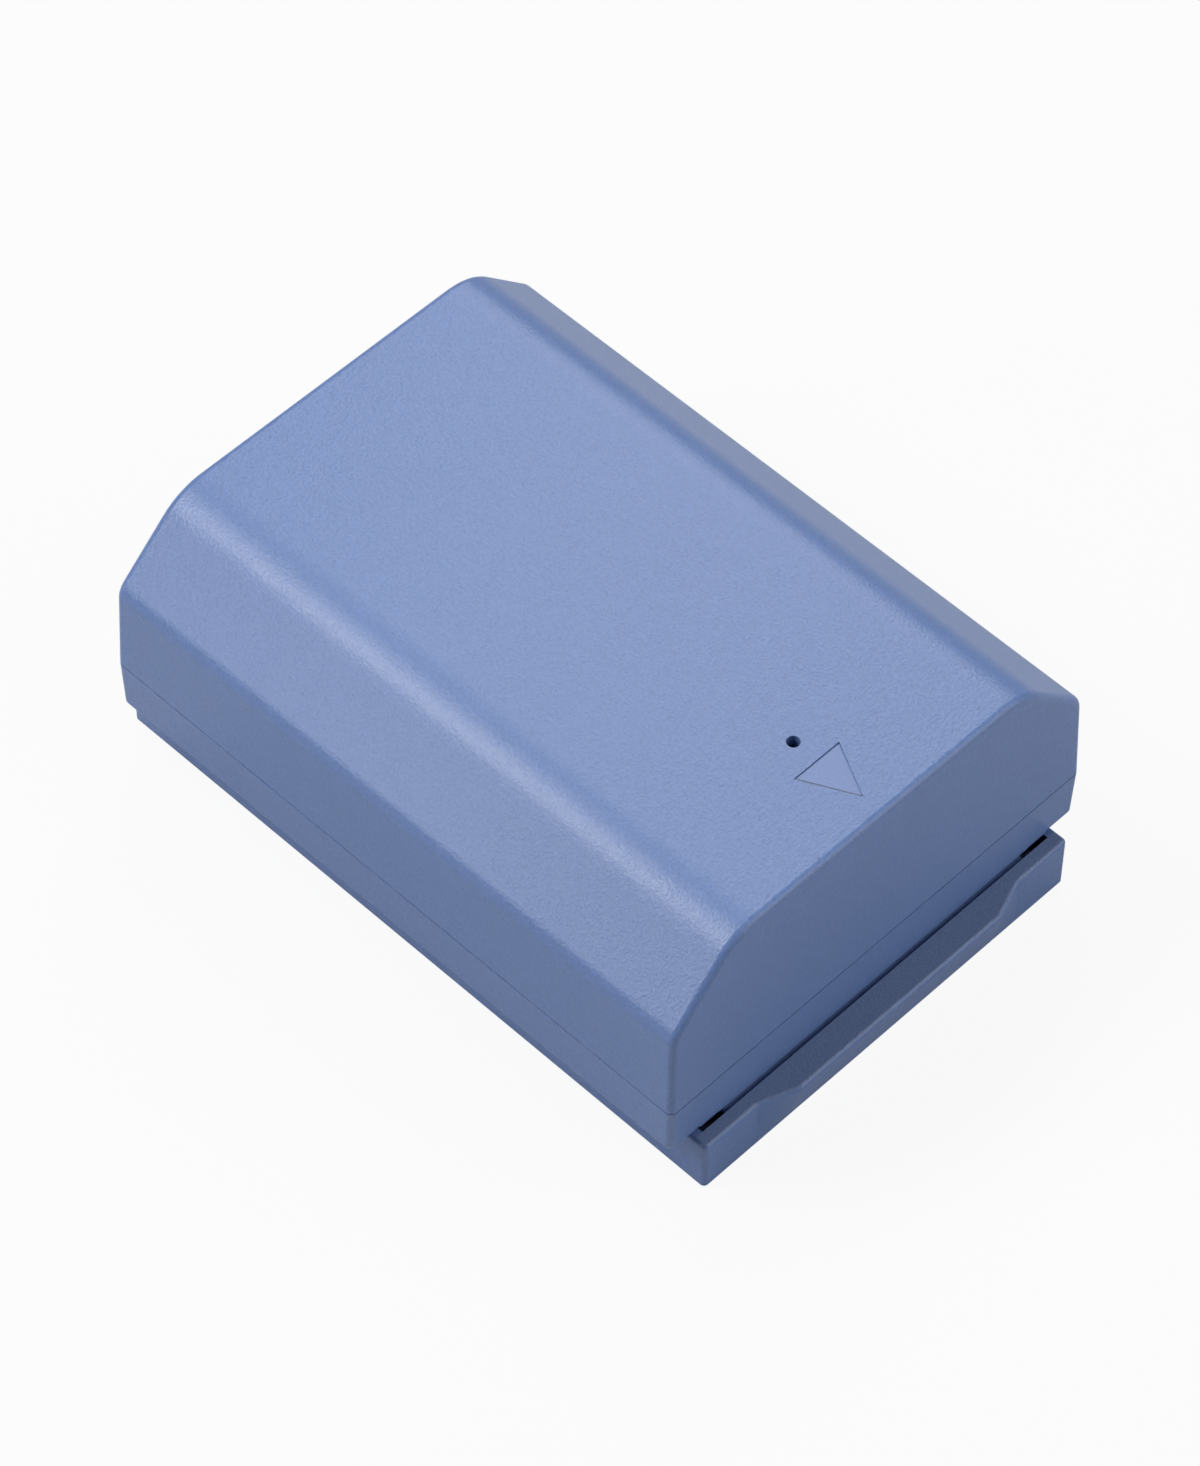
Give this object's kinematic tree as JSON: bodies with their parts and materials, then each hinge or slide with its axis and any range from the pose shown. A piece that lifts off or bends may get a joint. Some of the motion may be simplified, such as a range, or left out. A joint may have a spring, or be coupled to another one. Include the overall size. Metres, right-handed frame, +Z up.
{
  "type": "camera battery",
  "caption": "Rechargeable camera battery: drafted blue case with chamfered top, foot with a flared lip, contact slots and cells inside.",
  "frame": {"origin": "middle of the flat underside of the foot, under the middle of the overall box", "axes": "+Z up from the foot to the top face, +X along the length towards the contact end, +Y across the width"},
  "size_m": [0.0551, 0.0386, 0.0227],
  "materials": {
    "case_upper": "fine matte grain",
    "case_lower": "fine matte grain",
    "can_steel": "drawn, nickel plated",
    "sleeve_film": "shrink film",
    "insulating_card": "smooth card",
    "tape_film": "smooth film",
    "foam": "closed-cell foam",
    "nickel_strip": "rolled",
    "board_laminate": "solder mask",
    "chip_mould": "moulded",
    "fuse_body": "smooth",
    "chip_ceramic": "smooth",
    "capacitor_ceramic": "smooth",
    "sensor_bead": "dipped",
    "contact_gold": "gold plated",
    "block_plastic": "moulded"
  },
  "bodies": {
    "root": {"upper_case": "case_upper", "lower_case": "case_lower", "cell_left": "can_steel", "cell_right": "can_steel", "sleeve_left": "sleeve_film", "sleeve_right": "sleeve_film", "insulator_ring_left": "insulating_card", "insulator_ring_right": "insulating_card", "positive_strip": "nickel_strip", "negative_strip": "nickel_strip", "series_link": "nickel_strip", "midpoint_strip": "nickel_strip", "near_end_sheet": "insulating_card", "far_end_sheet": "insulating_card", "board_sheet": "insulating_card", "cell_tape": "tape_film", "foam_pads": "foam", "circuit_board": "board_laminate", "mosfet_pair": "chip_mould", "protection_chip": "chip_mould", "gauge_chip": "chip_mould", "safety_fuse": "fuse_body", "sense_resistor": "chip_ceramic", "capacitors": "capacitor_ceramic", "resistors": "chip_ceramic", "temperature_sensor": "sensor_bead", "positive_contact": "contact_gold", "sensor_contact": "contact_gold", "negative_contact": "contact_gold", "data_contact": "contact_gold", "contact_block_left": "block_plastic", "contact_block_right": "block_plastic"}
  },
  "joints": []
}
